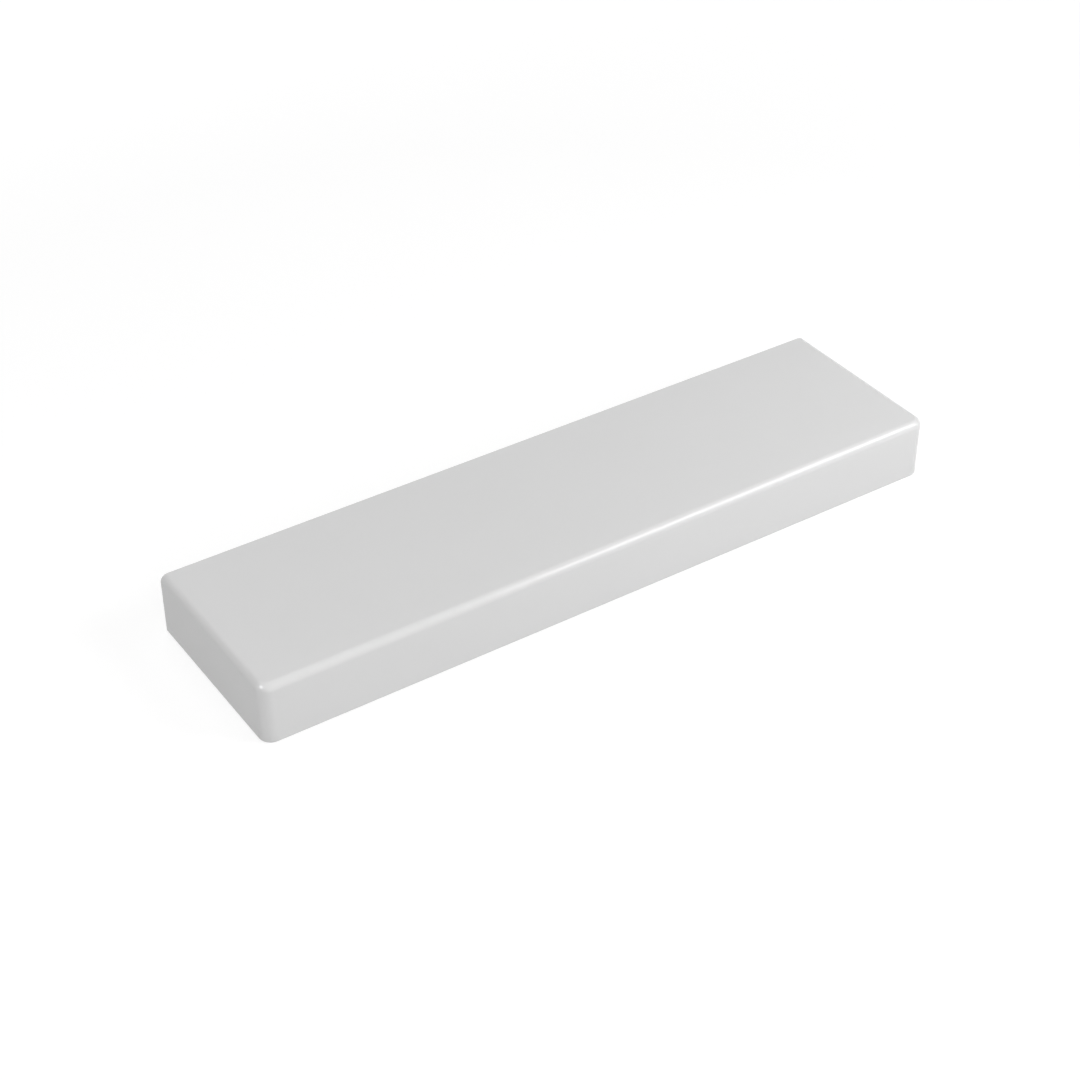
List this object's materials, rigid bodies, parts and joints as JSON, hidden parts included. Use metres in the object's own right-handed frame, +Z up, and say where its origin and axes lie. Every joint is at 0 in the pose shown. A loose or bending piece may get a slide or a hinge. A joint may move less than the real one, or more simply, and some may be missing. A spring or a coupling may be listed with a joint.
{
  "type": "ceramic shelf tile",
  "caption": "Long solid glazed ceramic slab with a square back edge for the wall and rounded front and end edges, bonded to a tiled wall as a small shelf.",
  "frame": {"origin": "centre of the underside, on the surface that the tile lies on", "axes": "+X along the wall, the tile's length; +Y towards the wall, out of the square back face; +Z up, out of the top face"},
  "size_m": [0.3, 0.0776, 0.0255],
  "materials": {
    "white_glaze": "gloss"
  },
  "bodies": {
    "root": {"shelf_tile": "white_glaze"}
  },
  "joints": []
}
